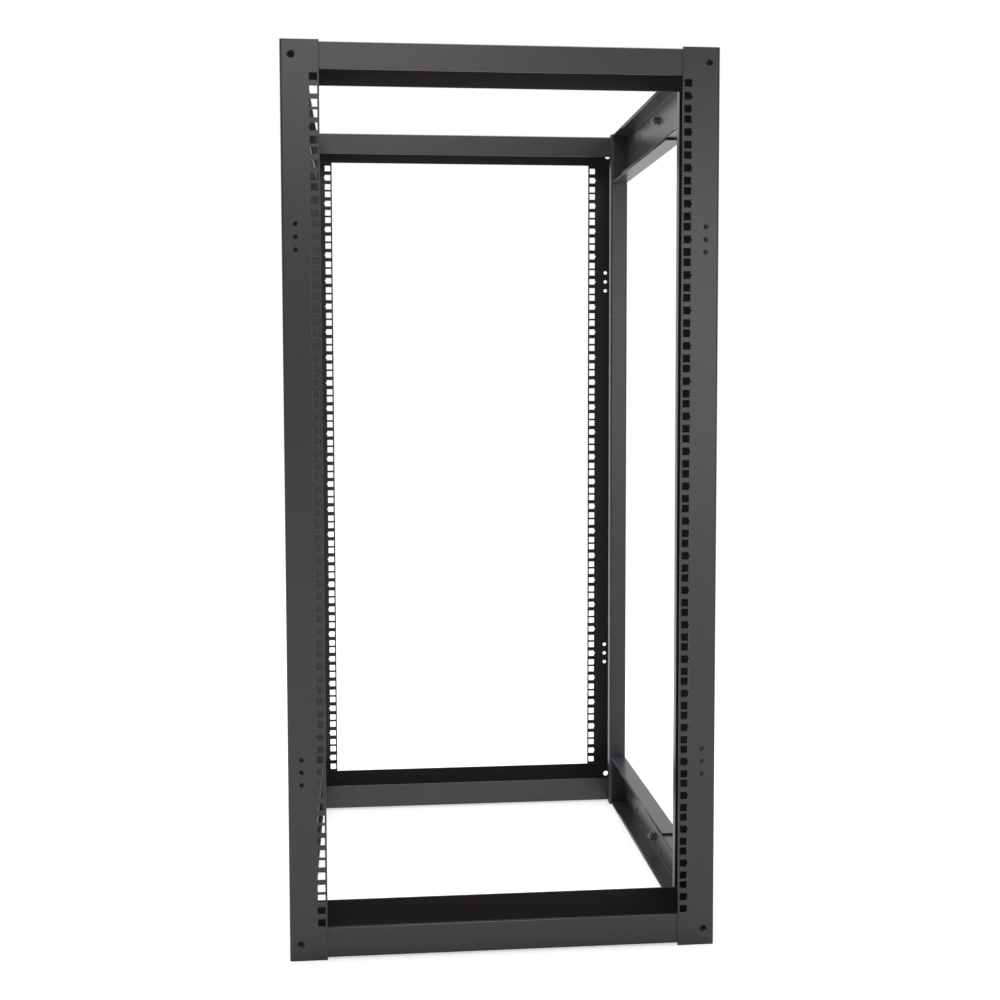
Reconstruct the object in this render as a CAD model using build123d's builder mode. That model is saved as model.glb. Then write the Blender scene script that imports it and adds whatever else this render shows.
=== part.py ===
from build123d import *
import os

os.makedirs("parts", exist_ok=True)

# Four post open frame rack, in millimetres
# X runs to the right, Y from the front to the rear and Z up.
# The origin is on the floor, under the middle of the rack.

# Overall size
WIDTH = 546.0  # over the outer faces of the posts
DEPTH = 680.0  # over the front and rear faces of the posts

# Folded sheet steel
SHEET = 2.0
BEND = 3.0  # outer radius of a fold

# Equipment spacing of the 19-inch rack standard
UNITS = 24
UNIT = 44.45
HOLE_SPACING = 15.875  # from hole to hole inside one unit

# Holes punched in the flanges of the posts
SQUARE = 9.5
SQUARE_INSET = 7.15  # from the flange's edge to the column of square holes
POINT = 2.0  # depth of the right-angled notch in the middle hole of each unit
MARKED_UNIT = 5  # counted from the top and from the bottom
MARK_HOLE = 6.0
MARK_INSET = 16.6  # from the side face of the post
RAIL_HOLE = 9.0
RAIL_HOLE_INSET = 13.7  # from the side face of the post

# Post section
FLANGE_WIDTH = 47.6  # leaves the standard's 450.8 between the posts
POST_DEPTH = 112.0
RETURN_WIDTH = 28.0
LIP = 15.0

# Cross rails, one above the other at the front and at the rear
RAIL_DEPTH = 92.0
TOP_RAIL_HEIGHT = 33.5
TOP_RAIL_DROP = 1.5  # below the top of the posts
TOP_CLEARANCE = 3.2  # from the highest unit to the rail
BOTTOM_RAIL_HEIGHT = 38.5
BOTTOM_RAIL_LIFT = 2.0  # above the floor
BOTTOM_CLEARANCE = 1.5  # from the rail to the lowest unit

# Telescoping side rails, each an inner member that slides in an outer one
SIDE_HEIGHT = 80.0
SIDE_FLANGE = 26.0
NEST_GAP = 1.0  # between the flanges of the two members
TOP_SIDE_DROP = 1.5
BOTTOM_SIDE_LIFT = 4.0
OUTER_SETBACK = 70.0  # from the front posts to the outer member
INNER_SETBACK = 80.0  # from the rear posts to the end of the inner member

# Bolt holes where the two members overlap, nearer to the top or to the floor
TIE_HOLE = 8.5
TIE_INSET = 24.5  # from the outer edge of the outer member
TIE_FRONT = 144.0  # from the front end of the outer member to the first hole
TIE_REAR = 36.0  # from the last hole to the rear end of the inner member

# End plates that join the side rails to the posts
PLATE = 2.5
PLATE_MARGIN = 2.0  # back from the open side of the member

# Faces and levels that follow from these sizes
side_face = WIDTH / 2
side_inner = side_face - SHEET
bay_edge = side_face - FLANGE_WIDTH
square_x = bay_edge + SQUARE_INSET
front_face = -DEPTH / 2
fold_inner = BEND - SHEET
cut = BEND  # a cut reaches this far each way, clear through a sheet
post_back = front_face + POST_DEPTH
lip_face = side_face - RETURN_WIDTH

lowest_unit = BOTTOM_RAIL_LIFT + BOTTOM_RAIL_HEIGHT + BOTTOM_CLEARANCE
highest_unit = lowest_unit + UNITS * UNIT
units_middle = (lowest_unit + highest_unit) / 2
height = highest_unit + TOP_CLEARANCE + TOP_RAIL_HEIGHT + TOP_RAIL_DROP

top_rail_high = height - TOP_RAIL_DROP
top_rail_low = top_rail_high - TOP_RAIL_HEIGHT
bottom_rail_high = BOTTOM_RAIL_LIFT + BOTTOM_RAIL_HEIGHT
rail_hole_levels = [(top_rail_high + top_rail_low) / 2, (bottom_rail_high + BOTTOM_RAIL_LIFT) / 2]
rail_hole_x = side_face - RAIL_HOLE_INSET
rail_front = front_face + SHEET

side_levels = {
    "top": (height - TOP_SIDE_DROP - SIDE_HEIGHT / 2, height - TOP_SIDE_DROP - TIE_INSET),
    "bottom": (BOTTOM_SIDE_LIFT + SIDE_HEIGHT / 2, BOTTOM_SIDE_LIFT + TIE_INSET),
}
outer_start = post_back + OUTER_SETBACK
inner_end = -post_back - INNER_SETBACK
ties = [outer_start + TIE_FRONT, inner_end - TIE_REAR]


def upright(y):
    """Plane across the rack at y, with X to the right and Z up."""
    return Plane(origin=(0, y, 0), x_dir=(1, 0, 0), z_dir=(0, -1, 0))


def folded_section(*corners):
    """Sketch the end of a folded sheet that lies to the left of its outer corners."""
    outer = [Vector(*corner) for corner in corners]
    lefts = [(b - a).normalized().rotate(Axis.Z, 90) for a, b in zip(outer, outer[1:])]
    shifts = [lefts[0]] + [a + b for a, b in zip(lefts, lefts[1:])] + [lefts[-1]]
    inner = [point + shift * SHEET for point, shift in zip(outer, shifts)]
    with BuildLine() as outline:
        FilletPolyline(*outer, radius=BEND)
        Line(outer[-1], inner[-1])
        FilletPolyline(*reversed(inner), radius=fold_inner)
        Line(inner[0], outer[0])
    make_face(outline.edges())


# Posts
# Each is one folded sheet: a punched flange that faces out, a web at the side,
# a return flange and a short lip that points back at the punched flange.

with BuildPart() as post:
    with BuildSketch(Plane.XY):
        folded_section(
            (bay_edge, front_face),
            (side_face, front_face),
            (side_face, post_back),
            (lip_face, post_back),
            (lip_face, post_back - LIP),
        )
    extrude(amount=height)

    # Square holes, three to a unit, the middle one with a notch on its outer side
    with BuildSketch(upright(front_face)):
        for step in (-HOLE_SPACING, HOLE_SPACING):
            with Locations((square_x, units_middle + step)):
                with GridLocations(SQUARE, UNIT, 1, UNITS):
                    Rectangle(SQUARE, SQUARE)
        with Locations((square_x, units_middle)):
            with GridLocations(SQUARE, UNIT, 1, UNITS):
                Rectangle(SQUARE, SQUARE)
                with Locations((SQUARE / 2, 0)):
                    Rectangle(POINT * 2**0.5, POINT * 2**0.5, rotation=45)

        # Holes for the cross rails, and three small ones beside each marked unit
        with Locations([(rail_hole_x, level) for level in rail_hole_levels]):
            Circle(RAIL_HOLE / 2)
        marked = (MARKED_UNIT - 0.5) * UNIT
        for level in (lowest_unit + marked, highest_unit - marked):
            with Locations((side_face - MARK_INSET, level)):
                with GridLocations(MARK_HOLE, HOLE_SPACING, 1, 3):
                    Circle(MARK_HOLE / 2)
    extrude(amount=cut, both=True, mode=Mode.SUBTRACT)

post.part.label = "post_front_right"
export_step(post.part, "parts/post_front_right.step")

with BuildPart() as post_front_left:
    mirror(post.part, about=Plane.YZ)
post_front_left.part.label = "post_front_left"
export_step(post_front_left.part, "parts/post_front_left.step")

with BuildPart() as post_rear_right:
    mirror(post.part, about=Plane.XZ)
post_rear_right.part.label = "post_rear_right"
export_step(post_rear_right.part, "parts/post_rear_right.step")

with BuildPart() as post_rear_left:
    mirror(post_front_left.part, about=Plane.XZ)
post_rear_left.part.label = "post_rear_left"
export_step(post_rear_left.part, "parts/post_rear_left.step")


# Cross rails
# Each is a shallow channel behind the punched flanges, with its open side
# towards the middle of the rack.

rail_levels = {
    "top": (top_rail_high, top_rail_low),
    "bottom": (BOTTOM_RAIL_LIFT, bottom_rail_high),
}
for level, (web_z, open_z) in rail_levels.items():
    near, far = rail_front, rail_front + RAIL_DEPTH
    if web_z > open_z:
        near, far = far, near
    with BuildPart() as rail:
        with BuildSketch(Plane.YZ):
            folded_section((near, open_z), (near, web_z), (far, web_z), (far, open_z))
        extrude(amount=side_inner - fold_inner, both=True)
        with BuildSketch(upright(rail_front)):
            with Locations((0, (web_z + open_z) / 2)):
                with GridLocations(2 * rail_hole_x, RAIL_HOLE, 2, 1):
                    Circle(RAIL_HOLE / 2)
        extrude(amount=cut, both=True, mode=Mode.SUBTRACT)
    rail.part.label = f"rail_front_{level}"
    export_step(rail.part, f"parts/{rail.part.label}.step")

    with BuildPart() as rear_rail:
        mirror(rail.part, about=Plane.XZ)
    rear_rail.part.label = f"rail_rear_{level}"
    export_step(rear_rail.part, f"parts/{rear_rail.part.label}.step")


# Side rails
# Two channels open towards the bay, one nested in the other, each with an
# end plate, welded in, that seats on the return flange of its post.

members = {
    "inner": (side_inner, SIDE_HEIGHT - 2 * SHEET - 2 * NEST_GAP, post_back, inner_end, post_back),
    "outer": (side_face, SIDE_HEIGHT, outer_start, -post_back, -post_back - PLATE),
}
for level, (middle, tie_z) in side_levels.items():
    for kind, (web_x, tall, start, end, plate_start) in members.items():
        open_x = web_x - SIDE_FLANGE
        low, high = middle - tall / 2, middle + tall / 2
        with BuildPart() as member:
            with BuildSketch(upright(end)):
                folded_section((open_x, low), (web_x, low), (web_x, high), (open_x, high))
            extrude(amount=end - start)
            with BuildSketch(Plane.YZ.offset(web_x)):
                with Locations([(y, tie_z) for y in ties]):
                    Circle(TIE_HOLE / 2)
            extrude(amount=cut, both=True, mode=Mode.SUBTRACT)

        plate_left, plate_right = open_x + PLATE_MARGIN, web_x - SHEET
        plate_tall = tall - 2 * SHEET - 2 * fold_inner
        with BuildPart() as plate:
            with BuildSketch(upright(plate_start + PLATE)):
                with Locations(((plate_left + plate_right) / 2, middle)):
                    Rectangle(plate_right - plate_left, plate_tall)
            extrude(amount=PLATE)

        for piece, name in ((member, f"side_{kind}_{level}"), (plate, f"plate_{kind}_{level}")):
            piece.part.label = f"{name}_right"
            export_step(piece.part, f"parts/{piece.part.label}.step")
            with BuildPart() as left_piece:
                mirror(piece.part, about=Plane.YZ)
            left_piece.part.label = f"{name}_left"
            export_step(left_piece.part, f"parts/{left_piece.part.label}.step")

print("rack", WIDTH, "x", DEPTH, "x", round(height, 2), "mm")
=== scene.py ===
import math

import bpy
import numpy as np
from bpy.props import FloatProperty, FloatVectorProperty, IntProperty, PointerProperty
from mathutils import Matrix, Vector


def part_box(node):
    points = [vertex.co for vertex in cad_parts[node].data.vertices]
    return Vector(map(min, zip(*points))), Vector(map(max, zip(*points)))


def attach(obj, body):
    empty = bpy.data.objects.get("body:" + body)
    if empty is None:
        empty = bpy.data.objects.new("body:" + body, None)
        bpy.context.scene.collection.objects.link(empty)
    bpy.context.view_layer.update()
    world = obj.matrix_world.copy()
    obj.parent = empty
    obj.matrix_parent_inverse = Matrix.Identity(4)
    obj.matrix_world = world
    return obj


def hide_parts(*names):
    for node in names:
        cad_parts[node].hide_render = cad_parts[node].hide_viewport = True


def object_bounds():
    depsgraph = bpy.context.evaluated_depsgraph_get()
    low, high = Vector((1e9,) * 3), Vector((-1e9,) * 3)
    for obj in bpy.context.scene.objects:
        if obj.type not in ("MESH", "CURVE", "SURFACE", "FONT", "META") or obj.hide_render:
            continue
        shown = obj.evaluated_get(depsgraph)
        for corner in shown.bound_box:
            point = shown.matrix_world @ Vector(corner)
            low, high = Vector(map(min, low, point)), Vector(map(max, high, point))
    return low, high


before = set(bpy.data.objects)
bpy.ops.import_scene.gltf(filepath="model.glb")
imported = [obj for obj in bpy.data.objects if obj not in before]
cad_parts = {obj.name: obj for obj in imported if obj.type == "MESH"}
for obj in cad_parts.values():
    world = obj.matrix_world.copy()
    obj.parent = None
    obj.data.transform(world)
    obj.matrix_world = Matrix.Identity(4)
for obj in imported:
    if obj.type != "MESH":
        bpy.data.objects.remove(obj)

bl_info = {
    "name": "Open frame rack",
    "version": (1, 0, 0),
    "blender": (4, 5, 0),
    "location": "View3D > Sidebar > Rack",
    "description": "Folds, punches and coats the sheet steel of a four post rack",
    "category": "Object",
}

CAD_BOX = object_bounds()
SIDES = {"left": -1, "right": 1}
ENDS = {"front": 1, "rear": -1}
LEVELS = ("top", "bottom")
CELL_MARGIN = 0.0012  # sheet left in a grid cell beside a square hole
ROUND_CELL = (0.011, 0.0065)  # reach of the round holes' cells towards the bay and the side


# Sizes and colours that a user would change

def length_setting(name, description, default):
    """A length in metres."""
    return FloatProperty(
        name=name, description=description, default=default, unit="LENGTH", subtype="DISTANCE")


def power_setting(name, description, default):
    """The power of a lamp in watts."""
    return FloatProperty(name=name, description=description, default=default, unit="POWER")


def angle_setting(name, description, degrees):
    """An angle, given in degrees and kept in radians."""
    return FloatProperty(name=name, description=description, default=math.radians(degrees), subtype="ANGLE")


def colour_setting(name, description, default):
    """A linear colour."""
    return FloatVectorProperty(
        name=name, description=description, default=default, subtype="COLOR", min=0.0, max=1.0)


class SheetSettings(bpy.types.PropertyGroup):
    thickness: length_setting("Thickness", "Thickness of the sheet steel", 0.002)
    bend: length_setting("Bend radius", "Outer radius of a fold", 0.003)
    edge: length_setting("Edge", "Rounding of a cut edge under the coat", 0.0005)
    bend_steps: IntProperty(name="Bend steps", description="Facets round a fold", default=9, min=2)
    return_width: length_setting("Return flange", "Width of the post's return flange", 0.028)
    lip: length_setting("Lip", "Depth of the post's lip", 0.015)


class PunchSettings(bpy.types.PropertyGroup):
    square: length_setting("Square hole", "Side of a square hole", 0.0095)
    corner: length_setting("Corner", "Corner radius of a square hole", 0.0006)
    point: length_setting("Notch", "Depth of the notch in the middle hole of a unit", 0.002)
    unit: length_setting("Unit", "Height of one equipment unit", 0.04445)
    step: length_setting("Hole step", "Spacing of the holes in a unit", 0.015875)
    units: IntProperty(name="Units", description="Number of equipment units", default=24, min=1)
    columns: length_setting("Columns", "Width between the hole columns", 0.4651)
    clearance: length_setting("Clearance", "From the bottom rail to the lowest unit", 0.0015)
    marked: IntProperty(name="Marked unit", description="Unit with small holes beside it", default=5, min=1)
    mark_hole: length_setting("Small hole", "Diameter of the small holes", 0.006)
    mark_inset: length_setting("Small hole inset", "From the post's side face", 0.0166)
    rail_hole: length_setting("Rail hole", "Diameter of the holes for the cross rails", 0.009)
    rail_inset: length_setting("Rail hole inset", "From the post's side face", 0.0137)
    tie_hole: length_setting("Tie hole", "Diameter of the bolt holes in the side rails", 0.0085)
    tie_inset: length_setting("Tie inset", "From the outer edge of the side rail", 0.0245)
    tie_front: length_setting("First tie", "From the front end of the outer member", 0.144)
    tie_rear: length_setting("Last tie", "From the rear end of the inner member", 0.036)


class FastenerSettings(bpy.types.PropertyGroup):
    thread: length_setting("Thread", "Nominal diameter of the bolt", 0.006)
    pitch: length_setting("Pitch", "Thread pitch", 0.001)
    across_flats: length_setting("Across flats", "Width of nut and head", 0.010)
    nut: length_setting("Nut", "Height of the nut", 0.0055)
    head: length_setting("Head", "Height of the bolt head", 0.004)
    washer: length_setting("Washer", "Outer diameter of the washer", 0.0142)
    washer_height: length_setting("Washer thickness", "Thickness of the washer", 0.0014)
    proud: length_setting("Thread end", "Thread that stands out of the nut", 0.0026)
    rivet: length_setting("Rivet", "Diameter of the rivet near the front end", 0.0062)
    rivet_height: length_setting("Rivet height", "Height of the rivet's dome", 0.0026)
    rivet_back: length_setting("Rivet place", "From the front end of the outer member", 0.027)
    rivet_inset: length_setting(
        "Rivet inset", "From the edge of the outer member that lies away from its bolt", 0.0205)


class FinishSettings(bpy.types.PropertyGroup):
    coat: colour_setting("Coat", "Colour of the powder coat", (0.0475, 0.0392, 0.0500))
    coat_roughness: FloatProperty(
        name="Coat roughness", description="Roughness of the powder coat", default=0.31, subtype="FACTOR")
    coat_index: FloatProperty(
        name="Coat index", description="Refractive index of the powder coat", default=1.58)
    steel: colour_setting("Fastener", "Colour of the blackened fasteners", (0.26, 0.252, 0.257))
    zinc: colour_setting("Rivet", "Colour of the zinc on the rivets", (0.72, 0.71, 0.69))
    steel_roughness: FloatProperty(
        name="Fastener roughness", description="Roughness of the fasteners", default=0.34, subtype="FACTOR")


class StageSettings(bpy.types.PropertyGroup):
    floor: colour_setting("Floor", "Colour of the floor", (0.85, 0.85, 0.85))
    floor_glow: FloatProperty(
        name="Floor glow", description="White that the camera sees added to the floor", default=0.58)
    sky: FloatProperty(
        name="Sky", description="Strength of the white surroundings behind the rack", default=0.95)
    room: FloatProperty(
        name="Room", description="Strength of the dimmer room in front of the rack", default=0.10)
    key: power_setting("Key", "Power of the upper lamp", 22.0)
    fill: power_setting("Fill", "Power of the lamp on the right", 15.0)
    top: power_setting("Top", "Power of the wide lamp overhead", 90.0)
    lens: FloatProperty(name="Lens", description="Focal length of the camera in millimetres", default=46.72)
    yaw: angle_setting("Yaw", "Turn of the camera to the right", 5.125)
    pitch: angle_setting("Pitch", "Tilt of the camera", -3.43)
    roll: angle_setting("Roll", "Roll of the camera", -0.179)
    station: FloatVectorProperty(
        name="Camera", description="Place of the camera", default=(-0.1773, -1.9543, 0.7279), subtype="XYZ",
        unit="LENGTH")
    shift: FloatVectorProperty(
        name="Shift", description="Shift of the lens", default=(0.0219, -0.0380), size=2)


class RackSettings(bpy.types.PropertyGroup):
    sheet: PointerProperty(type=SheetSettings)
    punch: PointerProperty(type=PunchSettings)
    fastener: PointerProperty(type=FastenerSettings)
    finish: PointerProperty(type=FinishSettings)
    stage: PointerProperty(type=StageSettings)


# Shader expressions

class Signal:
    """A shader socket in an expression: each operator adds the Math node that it needs."""

    def __init__(self, finish, socket):
        self.finish = finish
        self.socket = socket

    def _math(self, operation, *values):
        return self.finish.node("ShaderNodeMath", {"operation": operation}, *values)

    def __add__(self, other):
        return self._math("ADD", self, other)

    __radd__ = __add__

    def __sub__(self, other):
        return self._math("SUBTRACT", self, other)

    def __rsub__(self, other):
        return self._math("SUBTRACT", other, self)

    def __mul__(self, other):
        return self._math("MULTIPLY", self, other)

    __rmul__ = __mul__

    def clamped(self):
        return self.finish.node("ShaderNodeClamp", {}, self)

    def output(self, name):
        """Another output of the same node."""
        return Signal(self.finish, self.socket.node.outputs[name])


class Finish:
    """The node tree of one material or world, emptied and ready to be filled."""

    def __init__(self, owner):
        owner.use_nodes = True
        self.tree = owner.node_tree
        self.tree.nodes.clear()

    def node(self, kind, settings, *values, output=0, **named):
        """One node: its settings first, then its sockets by order or by name."""
        made = self.tree.nodes.new(kind)
        for key, value in settings.items():
            setattr(made, key, value)
        sockets = list(enumerate(values)) + [(key.replace("_", " "), value) for key, value in named.items()]
        for key, value in sockets:
            if isinstance(value, Signal):
                self.tree.links.new(value.socket, made.inputs[key])
            elif value is not None:
                made.inputs[key].default_value = value
        return Signal(self, made.outputs[output]) if made.outputs else None

    def place(self):
        """Object coordinates, in metres."""
        return self.node("ShaderNodeTexCoord", {}, output="Object")

    def noise(self, scale, detail=2.0):
        """Noise from 0 to 1 with one lump about every 1 / scale metres."""
        return self.node(
            "ShaderNodeTexNoise", {"noise_dimensions": "3D"}, Vector=self.place(), Scale=scale, Detail=detail)

    def between(self, share, first, second):
        """The colour at a share of the way from the first to the second."""
        return self.node(
            "ShaderNodeMix", {"data_type": "RGBA"}, share, None, None, None, None, None,
            tuple(first) + (1.0,), tuple(second) + (1.0,), output=2)

    def shown(self, mirrored):
        """1 where the camera sees the background itself, and mirrored where the coat shows it."""
        path = self.node("ShaderNodeLightPath", {}, output="Is Camera Ray")
        mirror = path.output("Is Glossy Ray")
        return (path + path.output("Is Transmission Ray") + mirror * mirrored).clamped()


# Lumps per metre and heights in metres of what the finishes show up close
PEEL, SPECK, CLOUD, PEEL_HEIGHT = 850.0, 2600.0, 9.0, 0.00006
GRAIN, STAIN, GRAIN_HEIGHT = 1800.0, 140.0, 0.00004


def powder_coat(settings):
    """Satin black powder coat: fine orange peel, small specks and slow changes of gloss."""
    material = bpy.data.materials.new("satin_coat")
    coat = Finish(material)
    peel = coat.noise(PEEL, 2.0)
    speck = coat.noise(SPECK, 1.0)
    cloud = coat.noise(CLOUD, 3.0)
    dark, pale = ([share * c for c in settings.coat] for share in (0.90, 1.10))
    colour = coat.between((0.5 * speck + 0.5 * cloud).clamped(), dark, pale)
    gloss = settings.coat_roughness - 0.05 + 0.06 * cloud + 0.05 * peel
    relief = coat.node(
        "ShaderNodeBump", {}, Strength=0.2, Distance=PEEL_HEIGHT, Height=0.8 * peel + 0.2 * speck)
    shader = coat.node(
        "ShaderNodeBsdfPrincipled", {}, Base_Color=colour, Roughness=gloss, IOR=settings.coat_index,
        Normal=relief)
    coat.node("ShaderNodeOutputMaterial", {}, Surface=shader)
    return material


def metal(name, colour, roughness, metallic):
    """Plated steel with a fine grain and faint stains."""
    material = bpy.data.materials.new(name)
    steel = Finish(material)
    grain = steel.noise(GRAIN)
    dark, pale = ([share * c for c in colour] for share in (0.8, 1.25))
    tone = steel.between(steel.noise(STAIN), dark, pale)
    relief = steel.node("ShaderNodeBump", {}, Strength=0.3, Distance=GRAIN_HEIGHT, Height=grain)
    shader = steel.node(
        "ShaderNodeBsdfPrincipled", {}, Base_Color=tone, Metallic=metallic,
        Roughness=roughness + 0.12 * grain, Normal=relief)
    steel.node("ShaderNodeOutputMaterial", {}, Surface=shader)
    return material


def blackened_steel(settings):
    """Blackened zinc on bolts, nuts and washers."""
    return metal("blackened_steel", settings.steel, settings.steel_roughness, 0.7)


def bright_zinc(settings):
    """Bare zinc on the rivets."""
    return metal("bright_zinc", settings.zinc, settings.steel_roughness, 1.0)


def finish_named(name):
    """The material of that name, made when it is first asked for."""
    made = bpy.data.materials.get(name)
    if made is None:
        makers = {"satin_coat": powder_coat, "blackened_steel": blackened_steel, "bright_zinc": bright_zinc}
        made = makers[name](bpy.context.scene.rack.finish)
    return made


# Folded and punched sheet

class Fold:
    """A folded sheet seen from its end.

    The outer surface runs straight between the corners and turns each one on
    an arc of radius R. With u the length along it, P(u) the path, t(u) its
    direction and n(u) the normal into the sheet, a point at depth w is
    P(u) + w n(u). On an arc that starts at P0 with direction d, and after an
    angle a, P = P0 + R (sin a d + (1 - cos a) n0) and t = cos a d + sin a n0.
    """

    def __init__(self, corners, radius, steps, side=1):
        corners = np.array(corners, float)
        runs = np.diff(corners, axis=0)
        lengths = np.linalg.norm(runs, axis=1)
        directions = runs / lengths[:, None]
        trims = np.full((len(runs), 2), radius)
        trims[0, 0] = trims[-1, 1] = 0.0
        straight = lengths - trims.sum(axis=1)
        arc = radius * math.pi / 2
        count = len(runs)
        self.side = side
        self.radius = radius
        self.starts = np.empty((2 * count - 1, 2))
        self.starts[::2] = corners[:-1] + directions * trims[:, :1]
        self.starts[1::2] = corners[1:-1] - directions[:-1] * trims[:-1, 1:]
        self.directions = np.repeat(directions, 2, axis=0)[:-1]
        self.is_arc = np.arange(2 * count - 1) % 2 == 1
        stretch = np.where(self.is_arc, arc, np.repeat(straight, 2)[:-1])
        self.knots = np.concatenate([[0.0], np.cumsum(stretch)])
        inside = [np.linspace(a, b, steps + 1) for a, b in zip(self.knots[1:-1:2], self.knots[2::2])]
        self.lines = np.concatenate([self.knots[:1], *inside, self.knots[-1:]])

    def inward(self, directions):
        """The normal into the sheet, a quarter turn from a direction."""
        return self.side * np.stack([-directions[:, 1], directions[:, 0]], axis=1)

    def at(self, u):
        """Places, directions and inward normals at each u."""
        part = np.clip(np.searchsorted(self.knots, u, side="right") - 1, 0, len(self.starts) - 1)
        start, d = self.starts[part], self.directions[part]
        n0 = self.inward(d)
        run = (u - self.knots[part])[:, None]
        angle = np.where(self.is_arc[part][:, None], run / self.radius, 0.0)
        bent = start + self.radius * (np.sin(angle) * d + (1 - np.cos(angle)) * n0)
        place = np.where(self.is_arc[part][:, None], bent, start + run * d)
        tangent = np.cos(angle) * d + np.sin(angle) * n0
        return place, tangent, self.inward(tangent)

    def where(self, run, point):
        """u of a point beside the straight stretch of that number."""
        start, d = self.starts[2 * run], self.directions[2 * run]
        return self.knots[2 * run] + float((np.array(point) - start) @ d)


def round_hole(diameter, steps=28):
    """Outline of a round hole as (centres, directions, radii): a point is centre + (radius + d) direction."""
    turn = np.arange(steps) * (2 * math.pi / steps)
    directions = np.stack([np.cos(turn), np.sin(turn)], axis=1)
    return np.zeros((steps, 2)), directions, np.full(steps, diameter / 2)


def cornered_hole(corners, radius, steps=4):
    """Outline of a hole with straight sides and rounded corners, as round_hole gives it.

    With a and b the outward normals of the sides before and after a corner,
    the mitre is m = (a + b) / (1 + a b). The arc's centre is corner - radius m,
    and its direction turns from a to b. Where the outline turns inwards the
    corner stays sharp and moves along m.
    """
    corners = np.array(corners, float)
    edges = np.roll(corners, -1, axis=0) - corners
    edges /= np.linalg.norm(edges, axis=1)[:, None]
    after = np.stack([edges[:, 1], -edges[:, 0]], axis=1)
    before = np.roll(after, 1, axis=0)
    mitre = (before + after) / (1 + (before * after).sum(axis=1)[:, None])
    outward = before[:, 0] * after[:, 1] > before[:, 1] * after[:, 0]
    radii = np.where(outward, radius, 0.0)
    first = np.arctan2(before[:, 1], before[:, 0])
    turn = np.mod(np.arctan2(after[:, 1], after[:, 0]) - first, 2 * math.pi)
    angle = first[:, None] + turn[:, None] * np.linspace(0, 1, steps)
    arcs = np.stack([np.cos(angle), np.sin(angle)], axis=2)
    directions = np.where(outward[:, None, None], arcs, mitre[:, None])
    keep = outward[:, None] | (np.arange(steps) == 0)
    centres = np.repeat((corners - radii[:, None] * mitre)[:, None], steps, axis=1)
    return centres[keep], directions[keep], np.repeat(radii[:, None], steps, axis=1)[keep]


def rounded_wall(edge, thickness):
    """Profile through a cut edge as (set back, depth, lean in, lean down).

    It is a quarter round, a straight wall and a quarter round.
    """
    mid = edge * (1 - math.sqrt(0.5))
    lean = math.sqrt(0.5)
    return np.array([
        (edge, 0.0, 0.0, -1.0),
        (mid, mid, lean, -lean),
        (0.0, edge, 1.0, 0.0),
        (0.0, thickness - edge, 1.0, 0.0),
        (mid, thickness - mid, lean, lean),
        (edge, thickness, 0.0, 1.0),
    ])


def bridged(loops):
    """Quads between neighbouring closed rows of a grid of vertex numbers."""
    a, b = loops[:-1], loops[1:]
    return np.stack([a, np.roll(a, -1, axis=-1), np.roll(b, -1, axis=-1), b], axis=-1).reshape(-1, 4)


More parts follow.
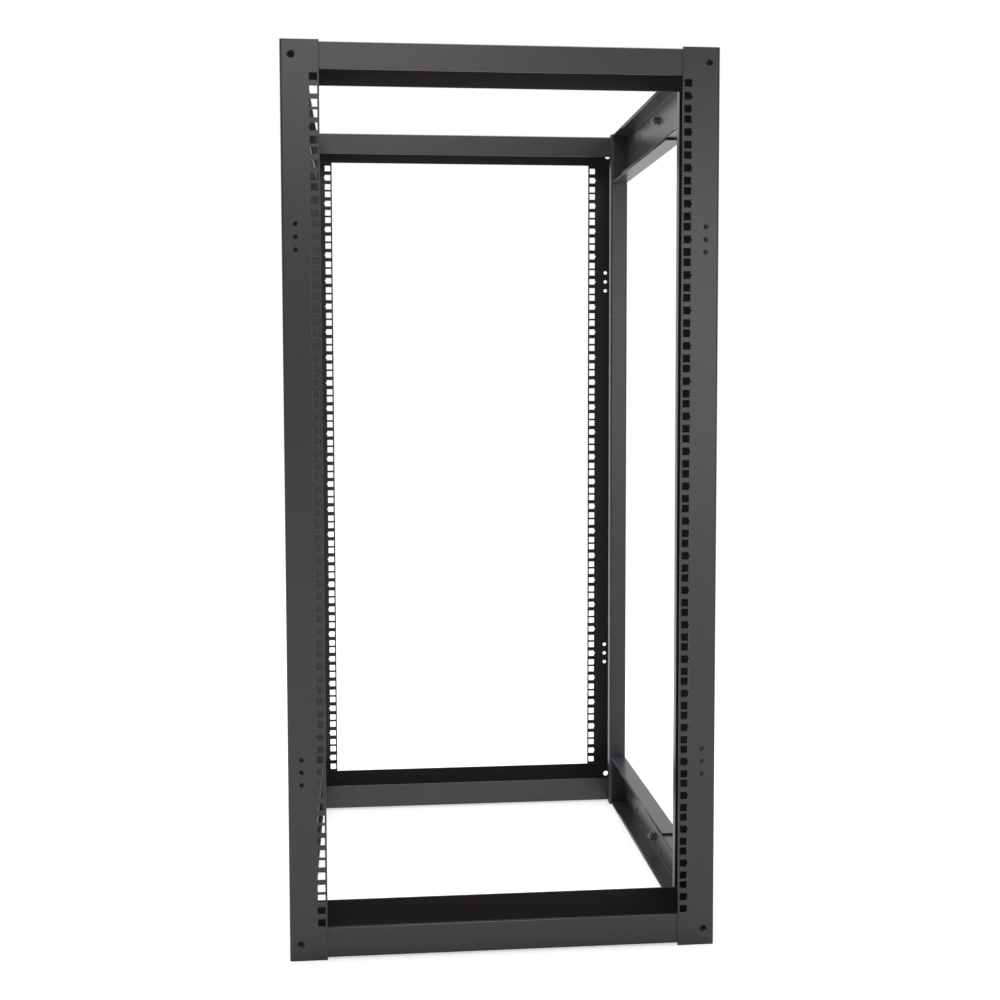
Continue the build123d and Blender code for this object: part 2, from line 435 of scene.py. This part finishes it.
def punched_sheet(fold, ends, holes, lines, thickness, edge):
    """A closed sheet, worked out flat and then folded.

    The flat sheet is a grid over u, along the fold's outer surface, and v,
    along its length, at depths w = 0 and w = thickness. A cell that holds a
    hole becomes a fan from its corners to the hole's outline, and a rounded
    wall joins both faces round each hole and round the border. Folding takes
    (u, v, w) to (P(u) + w n(u), v). Returns vertices, normals, quads and triangles.
    """
    u = np.unique(np.round(np.concatenate([fold.lines, lines[0]]), 8))
    v = np.unique(np.round(np.concatenate([ends, lines[1]]), 8))
    nu, nv = len(u), len(v)
    wall = rounded_wall(edge, thickness)

    def inside(values, axis, back):
        return np.clip(values, axis[0] + back, axis[-1] - back)

    # Both faces
    grid_u, grid_v = (g.ravel() for g in np.meshgrid(u, v, indexing="ij"))
    points, leans = [], []
    for depth, lean in ((0.0, -1.0), (thickness, 1.0)):
        points.append(np.column_stack([
            inside(grid_u, u, edge), inside(grid_v, v, edge), np.full(nu * nv, depth),
        ]))
        leans.append(np.tile([0.0, 0.0, lean], (nu * nv, 1)))
    number = np.arange(nu * nv).reshape(nu, nv)
    inner = nu * nv
    plain = np.ones((nu - 1, nv - 1), bool)
    cells = [(np.searchsorted(u, at[:, 0]) - 1, np.searchsorted(v, at[:, 1]) - 1) for _, at in holes]
    for i, j in cells:
        plain[i, j] = False
    i, j = np.nonzero(plain)
    face = np.stack([number[i, j], number[i + 1, j], number[i + 1, j + 1], number[i, j + 1]], axis=1)
    quads, triangles = [face[:, ::-1], face + inner], [np.empty((0, 3), int)]
    count = 2 * nu * nv

    # Holes
    for ((centres, directions, radii), at), (i, j) in zip(holes, cells):
        n, many = len(centres), len(at)
        reach = radii[None] + wall[:, :1]
        rim = centres[None] + reach[..., None] * directions[None]
        place = np.empty((many, len(wall), n, 3))
        place[..., :2] = at[:, None, None] + rim[None]
        place[..., 2] = wall[None, :, None, 1]
        outwards = directions / np.linalg.norm(directions, axis=1)[:, None]
        lean = np.empty((len(wall), n, 3))
        lean[..., :2] = -wall[:, None, None, 2] * outwards[None]
        lean[..., 2] = wall[:, None, 3]
        points.append(place.reshape(-1, 3))
        leans.append(np.tile(lean.reshape(-1, 3), (many, 1)))
        loops = count + np.arange(many * len(wall) * n).reshape(many, len(wall), n)
        count += loops.size
        quads.append(bridged(np.swapaxes(loops, 0, 1))[:, ::-1])
        corner = np.stack([number[i + 1, j + 1], number[i, j + 1], number[i, j], number[i + 1, j]], axis=1)
        middle = rim[0] + np.roll(rim[0], -1, axis=0)
        heading = np.mod(np.arctan2(middle[:, 1], middle[:, 0]), 2 * math.pi)
        quarter = (heading // (math.pi / 2)).astype(int) % 4
        turns = np.nonzero(quarter != np.roll(quarter, 1))[0]
        for loop, extra in ((loops[:, 0], 0), (loops[:, -1], inner)):
            fan = np.stack([corner[:, quarter] + extra, np.roll(loop, -1, axis=1), loop], axis=-1)
            left, met = corner[:, np.roll(quarter, 1)[turns]], corner[:, quarter[turns]]
            link = np.stack([left + extra, met + extra, loop[:, turns]], axis=-1)
            both = np.concatenate([fan.reshape(-1, 3), link.reshape(-1, 3)])
            triangles.append(both if extra else both[:, ::-1])

    # Border
    around = np.concatenate([number[:-1, 0], number[-1, :-1], number[:0:-1, -1], number[0, :0:-1]])
    border_u, border_v = grid_u[around], grid_v[around]
    out = np.stack([
        (border_u == u[-1]).astype(float) - (border_u == u[0]),
        (border_v == v[-1]).astype(float) - (border_v == v[0]),
    ], axis=1)
    out /= np.linalg.norm(out, axis=1)[:, None]
    rows = [around]
    for back, depth, lean_out, lean_down in wall[1:-1]:
        points.append(np.column_stack([
            inside(border_u, u, back), inside(border_v, v, back), np.full(len(around), depth),
        ]))
        leans.append(np.column_stack([lean_out * out, np.full(len(around), lean_down)]))
        rows.append(count + np.arange(len(around)))
        count += len(around)
    rows.append(around + inner)
    quads.append(bridged(np.array(rows)))

    flat, lean = np.concatenate(points), np.concatenate(leans)
    place, tangent, into = fold.at(flat[:, 0])
    section = place + flat[:, 2:] * into
    normal = lean[:, :1] * tangent + lean[:, 2:] * into
    vertices = np.column_stack([section, flat[:, 1]])
    normals = np.column_stack([normal, lean[:, 1]])
    return vertices, normals, np.concatenate(quads), np.concatenate(triangles)


def turned(axes, mirror=1):
    """Matrix that lays a sheet's two section axes and its length along world axes such as 'XYZ'."""
    matrix = np.zeros((3, 3))
    for column, axis in enumerate(axes):
        matrix["XYZ".index(axis), column] = 1.0
    matrix[0] *= mirror
    return matrix


def add_piece(name, vertices, normals, quads, triangles, material, node=None):
    """Makes the mesh, faces outwards, and lets it ride on the rack."""
    corners = np.concatenate([quads[:, [0, 1, 2]], quads[:, [0, 2, 3]], triangles])
    a, b, c = (vertices[corners[:, k]] for k in range(3))
    if (a * np.cross(b, c)).sum() < 0:
        quads, triangles = quads[:, ::-1], triangles[:, ::-1]
    mesh = bpy.data.meshes.new(name)
    mesh.from_pydata(vertices.tolist(), [], quads.tolist() + triangles.tolist())
    if mesh.validate():
        raise RuntimeError(f"{name} has faulty faces")
    mesh.polygons.foreach_set("use_smooth", np.ones(len(mesh.polygons), bool))
    if normals is not None:
        mesh.normals_split_custom_set_from_vertices(normals.tolist())
    mesh.materials.append(material)
    piece = bpy.data.objects.new(name, mesh)
    bpy.context.scene.collection.objects.link(piece)
    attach(piece, "root")
    if node:
        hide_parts(node)
    return piece


def sheet_piece(node, fold, axes, ends, holes, lines, mirror=1, flip=1):
    """One folded sheet in place of a node: mirror swaps left and right, flip swaps front and rear."""
    sheet = bpy.context.scene.rack.sheet
    vertices, normals, quads, triangles = punched_sheet(fold, ends, holes, lines, sheet.thickness, sheet.edge)
    matrix = turned(axes, mirror)
    matrix[1] *= flip
    add_piece(f"{node}_sheet", vertices @ matrix.T, normals @ matrix.T, quads, triangles,
              finish_named("satin_coat"), node)


def tie_places(punch, level):
    """Heights and depths of the bolts that hold the two members of a side rail."""
    outer_low, outer_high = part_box(f"side_outer_{level}_right")
    inner_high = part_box(f"side_inner_{level}_right")[1]
    z = outer_high.z - punch.tie_inset if level == "top" else outer_low.z + punch.tie_inset
    return z, (outer_low.y + punch.tie_front, inner_high.y - punch.tie_rear)


def cell_lines(middles, half):
    """Grid lines on both sides of each middle."""
    middles = np.atleast_1d(middles)
    return np.concatenate([middles - half, middles + half])


class RACK_OT_posts(bpy.types.Operator):
    """Fold and punch the four posts"""

    bl_idname = "rack.posts"
    bl_label = "Posts"

    def execute(self, context):
        rack = context.scene.rack
        sheet, punch = rack.sheet, rack.punch
        low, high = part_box("post_front_right")
        bay, side, front, back = low.x, high.x, low.y, high.y
        lip_x = side - sheet.return_width
        corners = [(bay, front), (side, front), (side, back), (lip_x, back), (lip_x, back - sheet.lip)]
        fold = Fold(corners, sheet.bend, sheet.bend_steps)

        # Levels of all square holes, and of the units beside which small holes are
        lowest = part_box("rail_front_bottom")[1].z + punch.clearance
        middles = lowest + punch.unit * (np.arange(punch.units) + 0.5)
        outer = np.concatenate([middles - punch.step, middles + punch.step])
        every = np.sort(np.concatenate([middles, outer]))
        between = (every[1:] + every[:-1]) / 2
        first, last = every[0] - punch.step / 2, every[-1] + punch.step / 2
        low_mark, high_mark = middles[punch.marked - 1], middles[punch.units - punch.marked]
        marked = np.concatenate([mark + punch.step * np.arange(-1, 2) for mark in (low_mark, high_mark)])
        rails = np.array([sum(p.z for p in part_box(f"rail_front_{level}")) / 2 for level in LEVELS])

        half = punch.square / 2
        plain = [(-half, -half), (half, -half), (half, half), (-half, half)]
        notch = punch.point
        notched = plain[:2] + [(half, -notch), (half + notch, 0.0), (half, notch)] + plain[2:]

        def column(x, levels):
            return np.stack([np.full(len(levels), x - bay), levels], axis=1)

        holes = [
            (cornered_hole(plain, punch.corner), column(punch.columns / 2, outer)),
            (cornered_hole(notched, punch.corner), column(punch.columns / 2, middles)),
            (round_hole(punch.mark_hole), column(side - punch.mark_inset, marked)),
            (round_hole(punch.rail_hole), column(side - punch.rail_inset, rails)),
        ]
        cells_x = np.array([
            punch.columns / 2 - half - CELL_MARGIN, punch.columns / 2 + half + punch.point + CELL_MARGIN,
            side - punch.rail_inset - ROUND_CELL[0], side - punch.rail_inset + ROUND_CELL[1],
        ])
        lines = (cells_x - bay, np.concatenate([between, [first, last]]))
        for end, flip in ENDS.items():
            for hand, mirror in SIDES.items():
                sheet_piece(f"post_{end}_{hand}", fold, "XYZ", (low.z, high.z), holes, lines, mirror, flip)
        return {"FINISHED"}


class RACK_OT_cross_rails(bpy.types.Operator):
    """Fold the four cross rails"""

    bl_idname = "rack.cross_rails"
    bl_label = "Cross rails"

    def execute(self, context):
        rack = context.scene.rack
        sheet, punch = rack.sheet, rack.punch
        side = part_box("post_front_right")[1].x
        hole_x = side - punch.rail_inset
        for level in LEVELS:
            low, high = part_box(f"rail_front_{level}")
            web, lip, turn = (high.z, low.z, -1) if level == "top" else (low.z, high.z, 1)
            corners = [(low.y, lip), (low.y, web), (high.y, web), (high.y, lip)]
            fold = Fold(corners, sheet.bend, sheet.bend_steps, side=turn)
            hole_u = fold.where(0, (low.y, (low.z + high.z) / 2))
            at = np.array([(hole_u, -hole_x), (hole_u, hole_x)])
            holes = [(round_hole(punch.rail_hole), at)]
            lines = (cell_lines(hole_u, punch.rail_hole), cell_lines([-hole_x, hole_x], punch.rail_hole))
            for end, flip in ENDS.items():
                sheet_piece(f"rail_{end}_{level}", fold, "YZX", (low.x, high.x), holes, lines, 1, flip)
        return {"FINISHED"}


class RACK_OT_side_rails(bpy.types.Operator):
    """Fold the telescoping side rails and close their ends with plates"""

    bl_idname = "rack.side_rails"
    bl_label = "Side rails"

    def execute(self, context):
        rack = context.scene.rack
        sheet, punch = rack.sheet, rack.punch
        for level in LEVELS:
            tie_z, ties = tie_places(punch, level)
            # The free edges of both members end in one plane
            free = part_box(f"side_outer_{level}_right")[0].x
            for kind in ("inner", "outer"):
                low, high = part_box(f"side_{kind}_{level}_right")
                corners = [(free, low.z), (high.x, low.z), (high.x, high.z), (free, high.z)]
                fold = Fold(corners, sheet.bend, sheet.bend_steps)
                hole_u = fold.where(1, (high.x, tie_z))
                at = np.array([(hole_u, y) for y in ties])
                holes = [(round_hole(punch.tie_hole), at)]
                lines = (cell_lines(hole_u, punch.tie_hole), cell_lines(ties, punch.tie_hole))
                plate_low, plate_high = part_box(f"plate_{kind}_{level}_right")
                thick = plate_high.y - plate_low.y
                plate_free = plate_low.x + free - low.x
                plate = Fold([(plate_free, plate_low.y), (plate_high.x, plate_low.y)], sheet.bend, 1)
                nothing = (np.empty(0), np.empty(0))
                # Its weld closes the corners, so the plate reaches both flanges
                ends = (low.z + sheet.thickness, high.z - sheet.thickness)
                flat = punched_sheet(plate, ends, [], nothing, thick, sheet.edge)
                for hand, mirror in SIDES.items():
                    member, name = (f"{piece}_{kind}_{level}_{hand}" for piece in ("side", "plate"))
                    sheet_piece(member, fold, "XZY", (low.y, high.y), holes, lines, mirror)
                    matrix = turned("XYZ", mirror)
                    add_piece(f"{name}_sheet", flat[0] @ matrix.T, flat[1] @ matrix.T, flat[2], flat[3],
                              finish_named("satin_coat"), name)
        return {"FINISHED"}


# Bolts, nuts and washers

SOFT = 0.0003  # rounding of machined edges
HEAD_SOFT = 0.0002  # rounding under the bolt's head
PLAY = 0.0001  # between thread and nut
HEAD_FACE, NUT_FACE = 0.9, 0.97  # radius of the end faces over half the width across flats
BEVEL_RISE = 0.55  # height of a hexagon's bevel over its width
THREAD_DEPTH = 0.00042
THREAD_ROWS = 6  # in one pitch
LAST_ROW, LAST_RIPPLE, TIP = 0.0010, 0.0009, 0.0008  # from the end of the bolt
TIP_FACE = 0.78  # radius of the bolt's end face over its shank's
SUNK = 0.0005  # the rivet's rim in the sheet
ROUND_STEPS, RIVET_STEPS, DOME_STEPS = 36, 28, 8
CREASE = math.radians(28)  # corners sharper than this stay sharp


def spun(profile, steps, flats=0.0, ripple=None):
    """A surface of revolution along +Z, closed where the profile ends on the axis or on itself.

    A point is (r cos a, r sin a, h) for each (r, h) of the profile. With flats,
    r is at most flats / cos(a - a0), a0 being the middle of the nearest side of
    a hexagon. A ripple (pitch, depth, low, high) takes depth times a triangle
    wave of (h / pitch - a / 2 pi) off r between two heights, as a thread does.
    """
    r, h = (np.array(profile, float)[:, k][:, None] for k in range(2))
    turn = (np.arange(steps) * (2 * math.pi / steps))[None]
    radius = np.broadcast_to(r, (len(r), steps)).copy()
    if flats:
        side = np.mod(turn, math.pi / 3) - math.pi / 6
        radius = np.minimum(radius, flats / np.cos(side))
    if ripple:
        pitch, depth, low, high = ripple
        wave = np.abs(2 * np.mod(h / pitch - turn / (2 * math.pi), 1.0) - 1)
        radius -= np.where((h > low) & (h < high), depth * wave, 0.0)
    height = np.broadcast_to(h, radius.shape)
    return np.stack([radius * np.cos(turn), radius * np.sin(turn), height], axis=2)


def closed_grid(points, ring):
    """Vertices, quads and triangles of a spun surface.

    ring joins the last row to the first. Otherwise both ends are poles.
    """
    rows, steps = points.shape[:2]
    number = np.arange(rows * steps).reshape(rows, steps)
    if ring:
        quads = bridged(np.concatenate([number, number[:1]]))
        return points.reshape(-1, 3), quads, np.empty((0, 3), int)
    body = points[1:-1].reshape(-1, 3)
    number = np.arange(len(body)).reshape(rows - 2, steps)
    poles = np.array([points[0, 0], points[-1, 0]])
    first, last = len(body), len(body) + 1
    start = np.stack([np.full(steps, first), np.roll(number[0], -1), number[0]], axis=1)
    end = np.stack([np.full(steps, last), number[-1], np.roll(number[-1], -1)], axis=1)
    return np.concatenate([body, poles]), bridged(number), np.concatenate([start, end])


def add_fastener(name, surface, matrix, origin, finish):
    """A spun surface, laid along world axes by the matrix and moved to its place."""
    vertices, quads, triangles = surface
    piece = add_piece(name, vertices @ matrix.T + origin, None, quads, triangles, finish_named(finish))
    piece.data.set_sharp_from_angle(angle=CREASE)


class RACK_OT_fasteners(bpy.types.Operator):
    """Bolt and rivet the two members of each side rail together"""

    bl_idname = "rack.fasteners"
    bl_label = "Fasteners"

    def execute(self, context):
        rack = context.scene.rack
        size, sheet = rack.fastener, rack.sheet
        grip = 2 * sheet.thickness
        shank = size.thread / 2
        flats = size.across_flats / 2
        point = flats / math.cos(math.pi / 6)
        bevel = (point - flats * NUT_FACE) * BEVEL_RISE
        washer, thick = size.washer / 2, size.washer_height
        end = grip + thick + size.nut + size.proud
        cap = size.head + thick

        # Heights grow from the rack's side face towards the bay
        bolt = [
            (0.0, -cap), (flats * HEAD_FACE, -cap), (point, -cap + bevel), (point, -thick - HEAD_SOFT),
            (point - SOFT, -thick), (shank, -thick),
        ]
        rows = np.arange(grip + thick * 0.5, end - LAST_ROW, size.pitch / THREAD_ROWS)
        bolt += [(shank, row) for row in rows]
        bolt += [(shank, end - TIP), (shank * TIP_FACE, end), (0.0, end)]
        ripple = (size.pitch, THREAD_DEPTH, grip, end - LAST_RIPPLE)
        bore = shank + PLAY
        nut_low, nut_high = grip + thick, grip + thick + size.nut
        nut = [
            (bore, nut_low + SOFT), (bore + SOFT, nut_low), (flats * NUT_FACE, nut_low),
            (point, nut_low + bevel), (point, nut_high - bevel), (flats * NUT_FACE, nut_high),
            (bore + SOFT, nut_high), (bore, nut_high - SOFT),
        ]
        surfaces = {
            "bolt": closed_grid(spun(bolt, ROUND_STEPS, flats, ripple), False),
            "nut": closed_grid(spun(nut, ROUND_STEPS, flats), True),
        }
        bore = shank + SOFT
        for place, low in (("head", -thick), ("nut", grip)):
            high = low + thick
            ring = [
                (bore, low + SOFT), (bore + SOFT, low), (washer - SOFT, low), (washer, low + SOFT),
                (washer, high - SOFT), (washer - SOFT, high), (bore + SOFT, high), (bore, high - SOFT),
            ]
            surfaces[f"{place}_washer"] = closed_grid(spun(ring, ROUND_STEPS), True)

        # The rivet is a dome: half an ellipse on a short rim
        turn = np.linspace(0, math.pi / 2, DOME_STEPS)
        radius, rise = size.rivet / 2, size.rivet_height
        dome = [(0.0, grip - SUNK), (radius, grip - SUNK)]
        dome += [(radius * math.cos(t), grip + SOFT + (rise - SOFT) * math.sin(t)) for t in turn[:-1]]
        rivet = closed_grid(spun(dome + [(0.0, grip + rise)], RIVET_STEPS), False)

        for level in LEVELS:
            z, ties = tie_places(rack.punch, level)
            low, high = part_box(f"side_outer_{level}_right")
            rivet_z = low.z + size.rivet_inset if level == "top" else high.z - size.rivet_inset
            for hand, mirror in SIDES.items():
                matrix = np.array([[0.0, 0.0, -mirror], [1.0, 0.0, 0.0], [0.0, 1.0, 0.0]])
                for kind, surface in surfaces.items():
                    origin = np.array([mirror * high.x, ties[0], z])
                    add_fastener(f"{kind}_{level}_{hand}", surface, matrix, origin, "blackened_steel")
                origin = np.array([mirror * high.x, low.y + size.rivet_back, rivet_z])
                add_fastener(f"rivet_{level}_{hand}", rivet, matrix, origin, "bright_zinc")
        return {"FINISHED"}


# Floor, light and camera

FLOOR_REACH = 14.0
FLOOR_FADE, SKY_FADE = 3.0, 2.0  # how fast the front turns into the white behind, by y and by heading
SENSOR_WIDTH = 36.0


class RACK_OT_stage(bpy.types.Operator):
    """Set the pale floor, the soft lamps and the camera"""

    bl_idname = "rack.stage"
    bl_label = "Stage"

    def execute(self, context):
        scene = context.scene
        stage = scene.rack.stage
        scene.view_settings.view_transform = "Standard"

        material = bpy.data.materials.new("studio_floor")
        floor = Finish(material)
        depth = floor.node("ShaderNodeSeparateXYZ", {}, floor.place(), output="Y")
        behind = (FLOOR_FADE * depth + 0.5).clamped()
        paper = floor.node("ShaderNodeBsdfDiffuse", {}, Color=tuple(stage.floor) + (1.0,))
        white = floor.node("ShaderNodeEmission", {}, Color=(1.0, 1.0, 1.0, 1.0), Strength=stage.floor_glow)
        bright = floor.node("ShaderNodeAddShader", {}, paper, white)
        seen = floor.node("ShaderNodeMixShader", {}, floor.shown(behind), paper, bright)
        floor.node("ShaderNodeOutputMaterial", {}, Surface=seen)
        mesh = bpy.data.meshes.new("studio_floor")
        ground = CAD_BOX[0][2]
        quarters = ((-1, -1), (1, -1), (1, 1), (-1, 1))
        corners = [(FLOOR_REACH * x, FLOOR_REACH * y, ground) for x, y in quarters]
        mesh.from_pydata(corners, [], [(0, 1, 2, 3)])
        mesh.materials.append(material)
        plane = bpy.data.objects.new("studio_floor", mesh)
        scene.collection.objects.link(plane)

        world = bpy.data.worlds.new("studio_white")
        scene.world = world
        sky = Finish(world)
        heading = sky.node("ShaderNodeTexCoord", {}, output="Generated")
        depth = sky.node("ShaderNodeSeparateXYZ", {}, heading, output="Y")
        behind = (SKY_FADE * depth + 0.5).clamped()
        strength = stage.room + (stage.sky - stage.room) * behind
        seen = sky.shown(behind)
        light = sky.node("ShaderNodeBackground", {}, Color=(1.0, 1.0, 1.0, 1.0),
                         Strength=strength + seen * (1.0 - strength))
        sky.node("ShaderNodeOutputWorld", {}, Surface=light)

        middle = Vector(((CAD_BOX[0][0] + CAD_BOX[1][0]) / 2, 0.0, (CAD_BOX[0][2] + CAD_BOX[1][2]) / 2))
        for name, power, place, size in (
            ("key_lamp", stage.key, (-0.4, -3.8, 2.45), 1.7),
            ("fill_lamp", stage.fill, (1.4, -3.8, 1.0), 1.4),
            ("top_lamp", stage.top, (0.0, -0.2, 4.5), 3.0),
        ):
            lamp = bpy.data.lights.new(name, "AREA")
            lamp.shape = "SQUARE"
            lamp.size = size
            lamp.energy = power
            holder = bpy.data.objects.new(name, lamp)
            holder.location = place
            holder.rotation_euler = (middle - Vector(place)).to_track_quat("-Z", "Y").to_euler()
            scene.collection.objects.link(holder)

        ahead = Vector((
            math.sin(stage.yaw) * math.cos(stage.pitch), math.cos(stage.yaw) * math.cos(stage.pitch),
            math.sin(stage.pitch)))
        right = Vector((math.cos(stage.yaw), -math.sin(stage.yaw), 0.0))
        up = right.cross(ahead)
        turned_right = math.cos(stage.roll) * right + math.sin(stage.roll) * up
        turned_up = math.cos(stage.roll) * up - math.sin(stage.roll) * right
        pose = Matrix((turned_right, turned_up, -ahead)).transposed().to_4x4()
        pose.translation = stage.station
        lens = bpy.data.cameras.new("photo_camera")
        lens.sensor_width = SENSOR_WIDTH
        lens.lens = stage.lens
        lens.shift_x, lens.shift_y = stage.shift
        camera = bpy.data.objects.new("photo_camera", lens)
        camera.matrix_world = pose
        scene.collection.objects.link(camera)
        scene.camera = camera
        return {"FINISHED"}


class RACK_PT_panel(bpy.types.Panel):
    bl_idname = "RACK_PT_panel"
    bl_label = "Open frame rack"
    bl_space_type = "VIEW_3D"
    bl_region_type = "UI"
    bl_category = "Rack"

    def draw(self, context):
        for operator in OPERATORS:
            self.layout.operator(operator.bl_idname)


SETTINGS = (SheetSettings, PunchSettings, FastenerSettings, FinishSettings, StageSettings, RackSettings)
OPERATORS = (RACK_OT_posts, RACK_OT_cross_rails, RACK_OT_side_rails, RACK_OT_fasteners, RACK_OT_stage)


def register():
    for cls in SETTINGS + OPERATORS + (RACK_PT_panel,):
        bpy.utils.register_class(cls)
    bpy.types.Scene.rack = PointerProperty(type=RackSettings)


def unregister():
    del bpy.types.Scene.rack
    for cls in reversed(SETTINGS + OPERATORS + (RACK_PT_panel,)):
        bpy.utils.unregister_class(cls)


def main():
    register()
    bpy.ops.rack.posts()
    bpy.ops.rack.cross_rails()
    bpy.ops.rack.side_rails()
    bpy.ops.rack.fasteners()
    bpy.ops.rack.stage()


if __name__ == "__main__":
    main()
